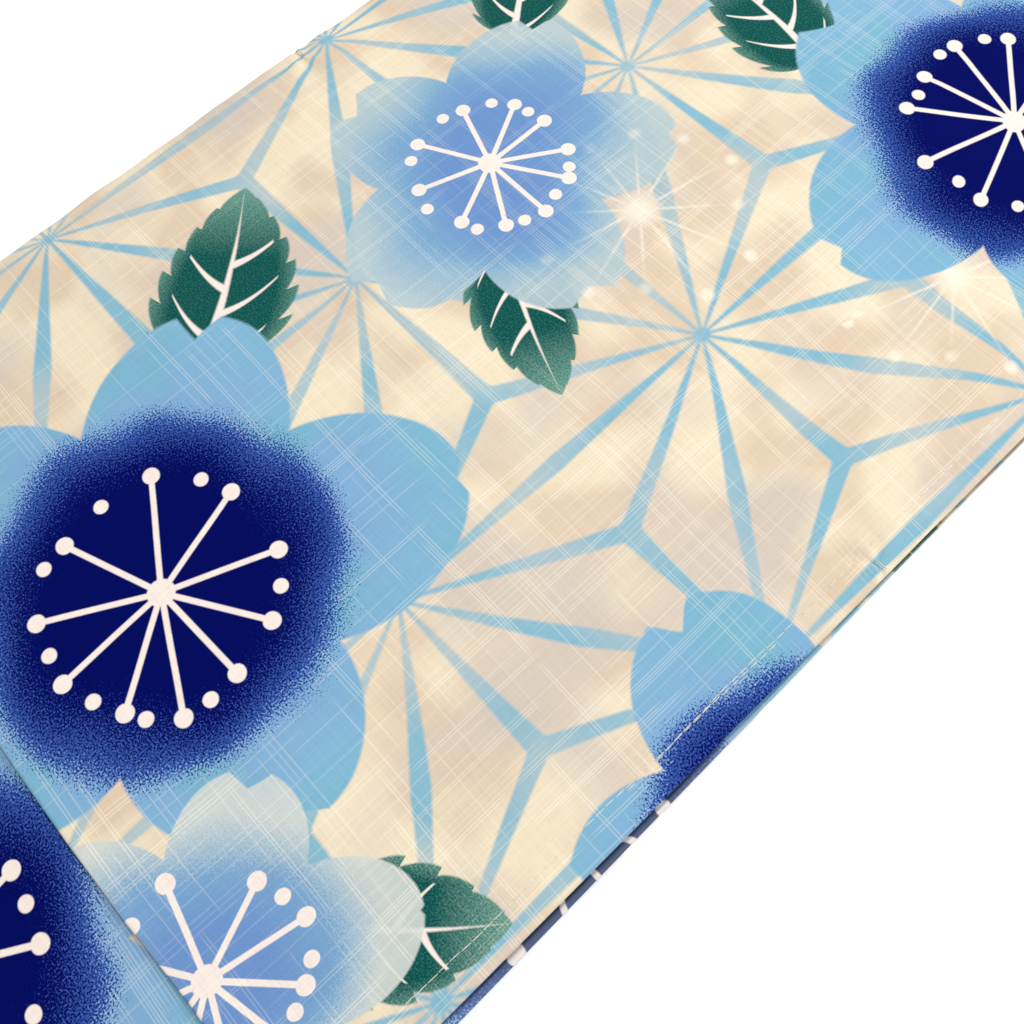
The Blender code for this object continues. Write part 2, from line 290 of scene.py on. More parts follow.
def new_group(name, inputs, outputs):
    """A shader node group with its named sockets."""
    tree = bpy.data.node_groups.new(name, "ShaderNodeTree")
    kinds = {"spot": "NodeSocketVector", "number": "NodeSocketFloat", "colour": "NodeSocketColor"}
    for label, kind in inputs:
        tree.interface.new_socket(label, in_out="INPUT", socket_type=kinds[kind])
    for label, kind in outputs:
        tree.interface.new_socket(label, in_out="OUTPUT", socket_type=kinds[kind])
    start = tree.nodes.new("NodeGroupInput")
    end = tree.nodes.new("NodeGroupOutput")
    return tree, start, end


def place_group(tree, group, **values):
    """A copy of a group in a tree, with its inputs fed."""
    node = add_node(tree, "ShaderNodeGroup")
    node.node_tree = group
    give(node, **values)
    return node


def dye(hex_colour):
    """A colour that is written as six hexadecimal digits, as the nodes want it."""
    parts = [int(hex_colour[k:k + 2], 16) / 255.0 for k in (0, 2, 4)]
    linear = [c / 12.92 if c <= 0.04045 else ((c + 0.055) / 1.055) ** 2.4 for c in parts]
    return (*linear, 1.0)


print("sums ready")


# %% [markdown]
# ## The print
# Yukata cotton is printed along a bolt about 38 cm wide. The pattern has a lattice of hemp leaves,
# the traditional asanoha, under large five-petalled flowers and toothed leaves. It is worked out
# here from circles, angles and straight lines. Each group makes one motif, and gives masks.

# %% Bolt and repeat
STAR_STEP = 14.7
ROW_STEP = 10.87
ROW_DRIFT = 0.3
REPEAT = 5 * STAR_STEP
BOLT_REACH = 400.0
STAR_ALONG = 12.1
STAR_ACROSS = 0.76
LATTICE_SQUEEZE = ROW_STEP / (STAR_STEP * math.sqrt(3.0) / 2.0)
KNOT = 0.40
WEB = 0.51
LINE_HALF = 0.05
print("lattice squeeze", round(LATTICE_SQUEEZE, 3))

# %% Hemp leaf lattice
def make_lattice_group():
    """Twelve rays from each star: six to the next stars, six to the middles of the triangles."""
    tree, start, end = new_group("hemp_leaf_lattice", [("Place", "spot")], [("Lines", "number")])
    place = Spot(tree, start.outputs["Place"])
    along, across = (place - (STAR_ALONG, STAR_ACROSS, 0.0)).split()
    straight = spot_of(along - across * (ROW_DRIFT / ROW_STEP), across / LATTICE_SQUEEZE)
    row = ROW_STEP / LATTICE_SQUEEZE
    first = straight.wrap(STAR_STEP / 2.0, row)
    second = (straight - (STAR_STEP / 2.0, row, 0.0)).wrap(STAR_STEP / 2.0, row)
    nearer = second.length() < first.length()
    star = Spot(tree, choose(nearer, first, second, "VECTOR"))
    turns, reach = angle_of(star)
    slant = (turns * (2.0 * math.pi)).step("PINGPONG", math.pi / 6.0)
    lines = None
    for ray_angle, ray_length, wide in ((0.0, STAR_STEP / 2.0, 0.33),
                                        (math.pi / 6.0, STAR_STEP / math.sqrt(3.0), 0.36)):
        off = slant - ray_angle
        beside = abs(reach * off.step("SINE"))
        half = (reach * off.step("COSINE")) * (wide / ray_length) + LINE_HALF
        ray = (half - beside).edge(0.13)
        lines = ray if lines is None else lines.most(ray)
    knot = (KNOT - reach).edge(0.22)
    joint_off = slant - math.pi / 6.0
    joint = spot_of(reach * joint_off.step("COSINE") - STAR_STEP / math.sqrt(3.0),
                    reach * joint_off.step("SINE")).length()
    web = (WEB - joint).edge(0.16)
    give(end, Lines=lines.most(knot).most(web))
    return tree


lattice_group = make_lattice_group()
print("lattice nodes", len(lattice_group.nodes))

# %% [markdown]
# ## Flowers
# A flower has five broad oval petals, each with a notch cut in its tip, and ten stamens that end in
# beads, with loose beads between them. One group makes it in centimetres round its own middle.
# The stamens are spread unevenly by a wave and by lot, as a brush would place them. The petals
# crowd on the other side of the flower, or on the same side where the flower's lot is over one. The
# lot also makes the petals a little shorter or longer towards the stamens' crowded side.

# %% Flower
PETAL_MIDDLE = 6.3
PETAL_HALF_LONG = 5.1
PETAL_HALF_WIDE = 4.3
NOTCH = 10.35
HEART = 5.9
CORE_REACH = 6.9
STAMENS = 10
RING = 4.3
CROWDING = 0.26
FILAMENT_HALF = 0.105
BEAD = 0.32
LOOSE_BEAD = 0.27
HUB = 0.50


def make_flower_group():
    """Masks of a flower round the place zero: petals, and the stamens with their beads."""
    tree, start, end = new_group(
        "five_petal_flower", [("Place", "spot"), ("Facts", "spot"), ("Thick", "number")],
        [("Petals", "number"), ("Stamens", "number"), ("Reach", "number"), ("Core", "number")])
    place = Spot(tree, start.outputs["Place"])
    lot, fullness, lean = Spot(tree, start.outputs["Facts"]).parts()
    thick = Number(tree, start.outputs["Thick"])
    turns, reach = angle_of(place)
    off_lean = turns * (2.0 * math.pi) - lean
    crowd = off_lean.step("SINE") * (CROWDING / (2.0 * math.pi))
    toward = off_lean.step("COSINE")
    lopsided = 0.08 - lot.step("FRACT") * 0.16
    open_reach = reach / fullness * (0.957 + toward * (toward * 0.086 + lopsided))

    same_side = (lot > 1.0) * 0.8 - 0.4
    petal = (((turns + crowd * same_side) * 5.0).step("FRACT") - 0.5) * (2.0 * math.pi / 5.0)
    hand = place.cloud(0.22) - 0.5
    long = open_reach * petal.step("COSINE") + hand * 0.6
    wide = abs(open_reach * petal.step("SINE"))
    oval = ((long - PETAL_MIDDLE) / PETAL_HALF_LONG).step("POWER", 2.0) \
        + (wide / PETAL_HALF_WIDE).step("POWER", 2.0)
    notch = (NOTCH - hand * 2.0 + wide * 0.72 - long) * 0.7
    petals = ((1.0 - oval) * 1.6).least(notch).most(HEART - open_reach).edge(0.09)
    core = CORE_REACH - reach * (1.07 + toward * 0.06)

    spread = (turns + crowd) * float(STAMENS) + lot
    pitch = reach * (1.0 + toward * CROWDING).step("DIVIDE", 2.0 * math.pi / STAMENS, swap=True)
    index = spread.step("FLOOR").step("FLOORED_MODULO", float(STAMENS))
    sway = (index * 2.3 + lot * 9.0).step("SINE") * 0.06
    beside = (spread.step("FRACT") - 0.5 - sway) * pitch
    past = reach - RING * (0.94 + (index + lot * 7.0).chance() * 0.10)
    thread = (thick * FILAMENT_HALF - abs(beside)).least(0.0 - past)
    bead = thick * BEAD - spot_of(beside, past).length()
    hub = thick * HUB - reach
    between = spread + 0.5
    lots = (between.step("FLOOR").step("FLOORED_MODULO", float(STAMENS)) + lot * 3.0).chance()
    loose_beside = (between.step("FRACT") - 0.5 - (lots - 0.5) * 0.3) * pitch
    loose_past = reach - RING * (0.90 + lots * 0.12)
    loose = thick * LOOSE_BEAD - (lots < 0.12) - spot_of(loose_beside, loose_past).length()
    stamens = thread.most(bead).most(hub).most(loose).edge(0.05)
    give(end, Petals=petals, Reach=open_reach, Core=core, Stamens=stamens)
    return tree


flower_group = make_flower_group()
print("flower nodes", len(flower_group.nodes))

# %% [markdown]
# ## Leaves
# A leaf is broad near its stalk and pointed at its tip, with rounded teeth that end in points towards
# the tip. Pale side veins leave the midrib in turn, left and right. It runs from 0 to 1.

# %% Leaf
LEAF_VEINS = 3.7


def make_leaf_group():
    """Masks of one leaf that runs from 0 to 1 along its first axis."""
    tree, start, end = new_group(
        "toothed_leaf", [("Place", "spot"), ("Facts", "spot")],
        [("Leaf", "number"), ("Veins", "number"), ("Rim", "number")])
    along, across = Spot(tree, start.outputs["Place"]).split()
    teeth, fullness = Spot(tree, start.outputs["Facts"]).split()
    across = across / fullness - (along * 3.0).step("SINE") * 0.03
    side = abs(across)
    inner = along.most(0.0).least(1.0)
    plain = inner.step("POWER", 0.45) * (1.0 - inner).step("POWER", 0.86) * 0.77
    saw = ((along - side * 0.55) * teeth + (across > 0.0) * 0.4).step("FRACT")
    width = plain * (0.89 + saw * (2.0 - saw) * 0.17)
    ahead = along.least(1.0 - along) * 4.0
    leaf = (width - side).least(ahead).edge(0.014)
    rim = (side / plain.most(0.05) * 0.85).most(along * 1.05).ramp(0.62, 1.10)
    midrib = (0.027 - along * 0.031) - side
    root = along - side * 0.45 - side * side * 2.0
    branch = root * LEAF_VEINS + (across > 0.0) * 0.5
    stripe = abs(branch.step("FRACT") - 0.5) * (1.0 / LEAF_VEINS)
    vein = (0.023 - side * 0.075 - stripe).least(plain * 0.74 - side).least(0.60 - root)
    veins = midrib.most(vein).edge(0.012)
    give(end, Leaf=leaf, Rim=rim, Veins=veins * leaf)
    return tree


leaf_group = make_leaf_group()
print("leaf nodes", len(leaf_group.nodes))

# %% [markdown]
# ## Where the motifs lie
# Each motif repeats along the bolt. For every place on the cloth the nearest motif of a kind is
# found first, and then the motif is worked out once, which keeps the material quick. A row of these
# tables is one motif: its place, turn and size, and then up to three facts of its own.

# %% Places of the motifs, in centimetres along and across the bolt
DARK_FLOWERS = (
    # along, across, turn in degrees, size, lot, fullness, crowded side in degrees
    (6.94, 16.65, 62.7, 1.0, 0.03, 0.93, 110.0),
    (43.20, 24.40, 11.0, 0.96, 0.75, 0.86, -82.0),
    (17.85, 38.25, 31.8, 0.85, 0.40, 0.90, 20.0),
    (64.00, 35.00, 70.0, 1.0, 0.20, 0.95, 150.0),
)
PALE_FLOWERS = (
    (27.10, 11.20, 68.4, 0.74, 1.67, 0.90, 51.0),
    (0.80, 27.65, 70.0, 0.78, 0.48, 0.74, 111.0),
    (56.50, 8.00, 50.0, 0.76, 0.30, 0.90, 0.0),
)
LEAVES = (
    # along and across at the stalk, turn in degrees, length, teeth to a side, fullness
    (13.18, 10.40, -42.5, 8.4, 6.2, 1.0),
    (24.87, 14.46, 114.5, 6.9, 5.4, 0.88),
    (32.60, 6.60, -44.0, 7.0, 5.4, 0.9),
    (40.00, 17.00, -83.0, 7.2, 5.2, 0.95),
    (4.25, 28.90, 43.9, 6.2, 4.3, 1.06),
    (53.50, 27.00, 140.0, 6.6, 5.2, 0.9),
    (66.00, 12.50, 40.0, 7.2, 5.6, 1.0),
)
STARBURSTS = (
    # along, across, turn in degrees, size, lot
    (29.70, 17.02, 0.0, 1.0, 0.1),
    (36.22, 27.45, 20.0, 1.0, 0.5),
    (55.00, 18.00, 45.0, 1.0, 0.8),
)


def nearest(place, motifs, middle=0.0):
    """The place as seen from the motif whose middle is nearest, and that motif's own facts."""
    seen, gap, facts = None, None, None
    for along, across, turn, size, *rest in motifs:
        lot, fullness, crowded = (*rest, 1.0, 0.0)[:3]
        near = (place - (along, across, 0.0)).wrap(REPEAT / 2.0, BOLT_REACH).turn(turn, size)
        near_gap = ((near - (middle, 0.0, 0.0)) if middle else near).length()
        near_facts = (lot, fullness, math.radians(crowded - turn))
        if seen is None:
            seen, gap, facts = near, near_gap, near_facts
            continue
        closer = near_gap < gap
        seen = Spot(place.tree, choose(closer, seen, near, "VECTOR"))
        facts = Spot(place.tree, choose(closer, facts, near_facts, "VECTOR"))
        gap = near_gap.least(gap)
    return seen, facts


print("motifs", len(DARK_FLOWERS + PALE_FLOWERS + LEAVES + STARBURSTS))


# %% [markdown]
# ## Mixing the dyes
# The layers go on as on the real cloth: cloudy ground, lattice, faint starbursts, leaves, dark
# flowers, pale flowers. The ground's sand and mauve clouds are partly the print's mottle and
# partly painted shade of soft folds. The dark flowers have a core sprayed in grains of navy.

# %% Dyes
CREAM = dye("EEDFC2")
# Sand and mauve colour the ground's clouds: partly the print's mottle, partly painted shade of soft
# folds
SAND_AND_SHADE = dye("DEC9AF")
MAUVE_AND_SHADE = dye("D2C5B9")
LATTICE_BLUE = dye("83B7CB")
LATTICE_GREY = dye("AEC1C6")
PETAL_BLUE = dye("82B4D1")
PETAL_TEAL = dye("7BB4CA")
PETAL_VIOLET = dye("80A9D3")
NAVY = dye("02095A")
NAVY_GRAIN = dye("3A5BAC")
PALE_VIOLET = dye("6C92C8")
PALE_BLUE = dye("7EACCC")
PALE_GREY = dye("B2C6CB")
PALE_CREAM = dye("CFD5D0")
FILAMENT = dye("F8E9E0")
STARLIGHT = dye("FBF1DD")
LEAF_DEEP = dye("004F4B")
LEAF_PALE = dye("6FA091")
SLUB_LIGHT = dye("FFF6E2")
STAR_RAYS = 12.0
STAR_REACH = 3.6


def make_print_group():
    """The printed colour at a place on the bolt."""
    tree, start, end = new_group("yukata_print", [("Place", "spot")], [("Colour", "colour")])
    place = Spot(tree, start.outputs["Place"])
    grain = place.cloud(15.0, 1.0)

    # Clouds of sand and mauve over the cream: partly the print's mottle, partly painted shade of soft
    # folds
    drift = place.cloud(0.16, 1.0, 0.55)
    tone = (place + (31.0, 7.0, 0.0)).cloud(0.30, 1.0, 0.5)
    colour = choose(tone.ramp(0.38, 0.62), SAND_AND_SHADE, CREAM)
    colour = choose(drift.ramp(0.47, 0.66) * 0.85, colour, MAUVE_AND_SHADE)

    lattice = place_group(tree, lattice_group, Place=place)
    fade = (place + (5.0, 60.0, 0.0)).cloud(0.21).ramp(0.36, 0.66)
    blue = choose(fade * 0.8, LATTICE_BLUE, LATTICE_GREY)
    colour = choose(Number(tree, lattice.outputs["Lines"]) * (0.97 - fade * 0.12), colour, blue)

    star, facts = nearest(place, STARBURSTS)
    turns, reach = angle_of(star)
    spread = turns * STAR_RAYS + facts.split()[0]
    lots = spread.step("FLOOR").chance()
    beside = abs(spread.step("FRACT") - 0.5) * reach * (2.0 * math.pi / STAR_RAYS)
    far = STAR_REACH + lots * 1.2
    ray = (0.10 - beside).ramp(0.0, 0.10) * (far - reach).ramp(0.2, 2.4) * 0.7
    bead = 0.34 - spot_of(beside, reach - far).length()
    glow = (1.0 - reach).ramp(0.0, 0.75)
    bright = ray.most(bead.ramp(0.0, 0.22) * (lots * 0.5 + 0.5)).most(glow)
    colour = choose(bright * 0.85, colour, STARLIGHT)

    leaf_place, facts = nearest(place, LEAVES, middle=0.5)
    leaf = place_group(tree, leaf_group, Place=leaf_place, Facts=facts)
    rim = Number(tree, leaf.outputs["Rim"])
    green = choose(rim * 0.95 + (grain - 0.44) * (0.7 + rim), LEAF_DEEP, LEAF_PALE)
    green = choose(Number(tree, leaf.outputs["Veins"]), green, FILAMENT)
    colour = choose(Number(tree, leaf.outputs["Leaf"]), colour, green)

    flower_place, facts = nearest(place, DARK_FLOWERS)
    flower = place_group(tree, flower_group, Place=flower_place, Facts=facts, Thick=1.0)
    reach = Number(tree, flower.outputs["Reach"])
    petal = choose(reach.ramp(6.0, 10.5), PETAL_VIOLET, PETAL_BLUE)
    petal = choose(tone.ramp(0.45, 0.75), petal, PETAL_TEAL)
    depth = Number(tree, flower.outputs["Core"]) + (place.cloud(0.35) - 0.5) * 1.1
    core = (depth + (grain - 0.5) * 2.4).edge(0.5)
    navy = choose(((depth - 0.9) + (grain - 0.5) * 5.2).edge(1.5), NAVY_GRAIN, NAVY)
    petal = choose(core, petal, navy)
    petal = choose(Number(tree, flower.outputs["Stamens"]), petal, FILAMENT)
    colour = choose(Number(tree, flower.outputs["Petals"]), colour, petal)

    flower_place, facts = nearest(place, PALE_FLOWERS)
    flower = place_group(tree, flower_group, Place=flower_place, Facts=facts, Thick=1.28)
    paler = facts.split()[0] < 0.6
    reach = Number(tree, flower.outputs["Reach"]) + (drift - 0.5) * 5.0 + (grain - 0.5) * 2.4 + paler
    petal = choose(reach.ramp(4.0, 8.0), PALE_VIOLET, PALE_BLUE)
    petal = choose(reach.ramp(6.8, 10.0), petal, choose(paler, PALE_GREY, PALE_CREAM))
    petal = choose(Number(tree, flower.outputs["Stamens"]), petal, FILAMENT)
    cover = Number(tree, flower.outputs["Petals"]) * (1.0 - reach.ramp(8.0, 12.0) * 0.12)
    colour = choose(cover, colour, choose(bright * reach.ramp(6.0, 9.0) * 0.6, petal, STARLIGHT))
    give(end, Colour=colour)
    return tree


print_group = make_print_group()
print("print nodes", len(print_group.nodes))

# %% [markdown]
# ## Thread
# The cotton is a plain weave with slubs: here and there a thread is thick for a few centimetres and
# takes the dye less. They run both ways and make a fine open check over the whole cloth.

# %% Thread group
THREAD_STEP = 0.038
BAND_STEP = 0.20
SLUB_LENGTH = 6.0


def make_thread_group():
    """Slubs, the tone of the threads and the height of the weave, at a place on the bolt."""
    tree, start, end = new_group("slub_cotton", [("Place", "spot"), ("Share", "number")],
                                 [("Slubs", "number"), ("Tone", "number"), ("Height", "number")])
    place = Spot(tree, start.outputs["Place"])
    share = Number(tree, start.outputs["Share"])
    sway = (place.cloud(0.10) - 0.5) * 0.3
    along, across = place.split()
    slubs, tone, height = None, None, None
    for run, beside_plain, shift in ((along, across, 0.0), (across, along, 517.0)):
        beside = beside_plain + sway
        band = beside / BAND_STEP + shift
        index = band.step("FLOOR")
        lots = index.chance()
        piece = run / SLUB_LENGTH + lots * 40.0
        number = piece.step("FLOOR")
        draw = (index * 13.7 + number * 3.1).chance()
        taper = (0.5 - abs(piece - number - 0.5)).ramp(0.0, 0.1)
        strength = (draw > (1.0 - share)) * (0.45 + lots * 0.55) * taper
        line = 1.0 - abs(abs(band - index - 0.5) - (lots > 0.7) * 0.28) * 7.2
        slub = (strength * line).most(0.0)
        slubs = slub if slubs is None else slubs.most(slub)
        thread = beside / THREAD_STEP
        streak = (thread.step("FLOOR") + (run / 2.3).step("FLOOR") * 7.7).chance()
        tone = streak if tone is None else (tone + streak) * 0.5
        weave = abs((beside_plain / THREAD_STEP).step("FRACT") - 0.5)
        height = weave if height is None else height + weave
    give(end, Slubs=slubs, Tone=tone, Height=height)
    return tree


thread_group = make_thread_group()
print("thread nodes", len(thread_group.nodes))

# %% Cotton finishes
def make_cotton(name, bolt_along, bolt_across, turned=False, fade_and_shade=0.0, fade_and_shade_to=CREAM):
    """A printed cotton that starts at a place on the bolt."""
    material, tree, shader = new_material(name)
    threads = add_node(tree, "ShaderNodeUVMap", uv_map="cloth")
    centimetres = add_node(tree, "ShaderNodeMapping")
    way = -100.0 if turned else 100.0
    give(centimetres, Vector=threads.outputs[0], Scale=(way, way, 1.0),
         Location=(bolt_along, bolt_across, 0.0))
    place = centimetres.outputs[0]
    colours = place_group(tree, print_group, Place=place)
    thread = place_group(tree, thread_group, Place=place, Share=0.31)
    slubs = Number(tree, thread.outputs["Slubs"])
    lightness = add_node(tree, "ShaderNodeRGBToBW")
    give(lightness, Color=colours.outputs["Colour"])
    taken = Number(tree, lightness.outputs[0]).ramp(0.08, 0.85)
    colour = choose(slubs * taken * 0.85, colours.outputs["Colour"], SLUB_LIGHT)
    worn = (Number(tree, thread.outputs["Tone"]) - 0.5) * 0.19 * taken
    colour = choose(worn.most(0.0), colour, SLUB_LIGHT)
    shade = add_node(tree, "ShaderNodeVectorMath", operation="SCALE")
    give(shade, Vector=colour, Scale=1.0 + worn.least(0.0))
    colour = shade.outputs[0]
    # A mix towards another colour: fading on the hidden cloths, painted shade on the lower sleeve
    if fade_and_shade:
        mix = add_node(tree, "ShaderNodeMix", data_type="RGBA")
        for socket, value in ((0, fade_and_shade), (6, colour), (7, fade_and_shade_to)):
            feed(tree, mix.inputs[socket], value)
        colour = mix.outputs[2]
    bump = add_node(tree, "ShaderNodeBump")
    give(bump, Strength=0.35, Distance=0.00006, Height=thread.outputs["Height"])
    give(shader, Base_Color=colour, Normal=bump.outputs[0], Roughness=0.82, Sheen_Weight=0.01,
         Sheen_Roughness=0.45, Specular_IOR_Level=0.03)
    return material


sleeve_cotton = make_cotton("left_sleeve_cotton", 0.0, 0.0)
back_cotton = make_cotton("left_back_cotton", 45.03, 37.54, turned=True)
# The lower sleeve's strip is greyed a fifth of the way to pale grey: painted shade from the top sleeve
under_cotton = make_cotton("right_sleeve_cotton", -4.45, -13.7, fade_and_shade=0.2, fade_and_shade_to=PALE_GREY)
right_cotton = make_cotton("right_back_cotton", 20.0, 1.5, fade_and_shade=0.12)
front_cotton = make_cotton("front_cotton", 33.0, 2.0, fade_and_shade=0.06)
overlap_cotton = make_cotton("overlap_cotton", 5.0, 9.0, fade_and_shade=0.06)
collar_cotton = make_cotton("collar_cotton", 12.0, 14.0)
print("cottons", len([m for m in bpy.data.materials if m.name.endswith("cotton")]))


def make_plain(name, colour):
    """A plain white cotton for the collar's core and the sewing thread."""
    material, tree, shader = new_material(name)
    where = add_node(tree, "ShaderNodeTexCoord")
    twist = add_node(tree, "ShaderNodeTexNoise")
    give(twist, Vector=where.outputs["Object"], Scale=900.0)
    shade = Number(tree, twist.outputs[0]).ramp(0.3, 0.7)
    darker = (*(channel * 0.82 for channel in colour[:3]), 1.0)
    bump = add_node(tree, "ShaderNodeBump")
    give(bump, Strength=0.2, Distance=0.0002, Height=twist.outputs[0])
    give(shader, Base_Color=choose(shade, darker, colour), Normal=bump.outputs[0], Roughness=0.7)
    return material


core_cotton = make_plain("collar_core_cotton", dye("F3EBDD"))
sewing_thread = make_plain("sewing_thread", dye("F4EBD8"))


# %% [markdown]
# ## Where the cloth lies
# These are the sizes that the solid was made from. The visual sheets follow the same heights, so
# that each one stays inside its own solid: the pile is thick where the folded fronts lie in it.
# The top sleeve rolls a little over the armhole side, and the lower sleeve's cuff is drawn in by
# 2 mm, so that only a narrow strip of it shows under the top one.

# %% Sizes of the folded robe, in metres
CLOTH = 0.0010
SEAM_GAP = 0.0003
BAG_GAP = 0.0020
OPEN_EDGE_SHARE = 0.9
SLEEVE_WIDTH = 0.330
SLEEVE_LENGTH = 0.505
SLEEVE_OPENING = 0.250
SLEEVE_CORNER = 0.020
NECK_HALF_WIDTH = 0.090
COLLAR_REACH = 0.0355
WAIST_X = -0.420
SHOULDER_X = 0.380
HEM_X = 0.420
HEM_STEP = 0.003
SIDE_Y = 0.165
CENTRE_Y = -0.135
CUFF_Y = -0.162
LOWER_CUFF_Y = -0.1660
OPEN_CUFF_Y = -0.1633
SLEEVE_END_X = SHOULDER_X - SLEEVE_LENGTH
TACK_UP = SLEEVE_LENGTH - SLEEVE_OPENING
ROLL_WIDTH = 0.003
LOWER_ARM_Y = SIDE_Y - 0.003
BACK_WIDTH = 0.300
BACK_LENGTH = 1.640
FRONT_LENGTH = 1.634
SHEET = 0.0005

# Heights in millimetres at places in metres
ACROSS = ((CENTRE_Y, 0.0), (-0.108, 0.0), (-0.092, 0.8), (-0.074, 2.4), (-0.045, 3.4), (0.0, 3.7),
          (0.060, 3.7), (0.090, 3.1), (0.120, 2.4), (0.148, 2.0), (0.159, 1.5), (SIDE_Y, 0.7))
ALONG = ((WAIST_X, 2.2), (-0.400, 1.9), (-0.360, 1.1), (-0.310, 0.5), (-0.250, 0.3), (-0.165, 0.3),
         (-0.146, 1.7), (-0.128, 3.6), (SHOULDER_X, 3.6))
SHOULDER = ((0.362, 1.0), (0.372, 0.86), (0.377, 0.62), (SHOULDER_X, 0.30))
UPPER_OVERHANG = ((CUFF_Y - 0.001, 3.7), (-0.156, 4.3), (-0.148, 5.6), (-0.1405, 7.3))
LOWER_OVERHANG = ((LOWER_CUFF_Y - 0.001, 0.1), (-0.152, 0.2), (-0.145, 0.7), (-0.139, 1.7))
ROLL_AT_ARMHOLE = 0.0042
ROLL_AT_SLIT = 0.0012


def between(table, place):
    """The second column of a table at a place, on a straight line between its rows."""
    if place <= table[0][0]:
        return table[0][1]
    for low, high in zip(table, table[1:]):
        if place <= high[0]:
            share = (place - low[0]) / (high[0] - low[0])
            return low[1] + share * (high[1] - low[1])
    return table[-1][1]


def soft_step(value):
    """0 below 0, 1 above 1 and a soft rise between them."""
    value = min(max(value, 0.0), 1.0)
    return value * value * (3.0 - 2.0 * value)


def hidden_layer(y):
    """Room for the folded fronts between the back panels."""
    layer = between(ACROSS, y) * MM
    return layer + SEAM_GAP * (1.0 + min(layer / (ACROSS[2][1] * MM), 1.0))


def upper_layer(x, y):
    """The same room in the upper half of the pile."""
    return SEAM_GAP + (hidden_layer(y) - SEAM_GAP) * between(SHOULDER, x)


def lower_top(y):
    """Height of the top of the lower half of the pile."""
    return 2.0 * CLOTH + hidden_layer(y)


def pile_top(x, y):
    """Height of the top of the pile, under the top sleeve."""
    return lower_top(y) + between(ALONG, x) * MM + 2.0 * CLOTH + upper_layer(x, y)


def upper_rest(x, y):
    """Height that the top sleeve lies on."""
    if y >= CENTRE_Y:
        return pile_top(x, y)
    return between(UPPER_OVERHANG + ((CENTRE_Y, pile_top(x, CENTRE_Y) / MM),), y) * MM


def lower_rest(x, y):
    """Height that the right sleeve lies on."""
    if y >= CENTRE_Y:
        return lower_top(y)
    return between(LOWER_OVERHANG + ((CENTRE_Y, lower_top(CENTRE_Y) / MM),), y) * MM


print("pile is", round(pile_top(0.1, 0.03) / MM, 1), "mm high")


# %% [markdown]
# ## Creases
# Pressed cotton keeps the marks of its folding. Each crease is a soft ridge or trough with its own
# length, width and height. They are listed one by one, as a maker would press them with a thumb. The
# tacks pull short puckers out of the cloth round them, and the cuff's hem is a little thicker.

# %% Creases of the sleeve and the back
# up from the end and in from the armhole in cm, direction in degrees (0 runs up the sleeve),
# half length and half width in cm, height in mm
SLEEVE_CREASES = (
    (19.6, 15.0, 90.0, 8.0, 1.0, 1.3),
    (26.2, 3.0, 90.0, 4.2, 1.6, 0.9),
    (25.0, 30.0, 90.0, 4.0, 1.5, 1.0),
    (5.8, 25.5, 90.0, 6.0, 1.8, 0.8),
    (40.0, 20.0, 90.0, 11.0, 2.2, 0.9),
    (19.5, 15.2, 91.0, 5.2, 0.30, -0.8),
    (16.0, 18.5, 70.0, 5.0, 0.8, 0.35),
    (24.0, 20.0, 60.0, 6.0, 1.1, -0.35),
    (33.0, 14.0, 100.0, 7.0, 1.4, 0.40),
    (9.5, 8.0, 20.0, 6.0, 1.2, -0.30),
    (30.0, 26.0, 12.0, 7.0, 1.3, -0.35),
    (45.0, 10.0, 75.0, 7.0, 1.2, 0.35),
    (13.0, 27.5, 40.0, 4.0, 0.8, 0.30),
)
BACK_CREASES = (
    (-30.0, 6.0, 80.0, 9.0, 1.0, 0.5),
    (-20.0, 22.0, 60.0, 7.0, 0.8, -0.3),
    (-12.0, 12.0, 95.0, 8.0, 0.9, 0.4),
    (-36.0, 20.0, 20.0, 6.0, 1.2, 0.4),
)
SLEEVE_TACKS = ((TACK_UP / CM, 0.6), (TACK_UP / CM, SLEEVE_WIDTH / CM - 0.4))


def crease_height(creases, along, across):
    """Height of the creases in metres at a place in cm."""
    total = 0.0
    for up_cm, in_cm, direction, half_long, half_wide, height in creases:
        turn = math.radians(direction)
        du, dv = along - up_cm, across - in_cm
        lengthways = (du * math.cos(turn) + dv * math.sin(turn)) / half_long
        sideways = (-du * math.sin(turn) + dv * math.cos(turn)) / half_wide
        if abs(lengthways) < 1.0 and abs(sideways) < 2.5:
            total += height * MM * (1.0 - lengthways ** 2) ** 2 * math.exp(-1.6 * sideways ** 2)
    return total


def pucker_height(tacks, along, across):
    """Height of the short puckers that fan out from each tack."""
    total = 0.0
    for up_cm, in_cm in tacks:
        du, dv = along - up_cm, across - in_cm
        gap = math.hypot(du, dv)
        if gap < 4.0:
            fan = math.sin(5.0 * math.atan2(dv, du) + 1.3 * gap + in_cm)
            total += 0.55 * MM * fan * math.exp(-((gap - 0.9) / 1.3) ** 2)
    return total


def slow_waves(along, across):
    """The slight unevenness of cloth that was folded by hand."""
    return 0.16 * MM * (math.sin(along * 0.83 + across * 0.31)
                        + math.sin(across * 0.71 - along * 0.22 + 1.0)
                        + 0.6 * math.sin(along * 1.7 - across * 1.3 + 2.0))


# The hem's stitches, in cm in from the armhole edge
CUFF_HEM = SLEEVE_WIDTH / CM - 1.05


def hem_height(across):
    """The cuff's hem is two cloths thick, and its stitches pull a small groove."""
    band = 0.22 * MM * soft_step((across - CUFF_HEM + 0.05) / 0.10)
    return band - 0.14 * MM * math.exp(-((across - CUFF_HEM) / 0.09) ** 2)


def eased(across):
    """The cloth is taken in a little towards the cuff's hem."""
    return across + 0.008 * soft_step((across - 0.235) / 0.095)


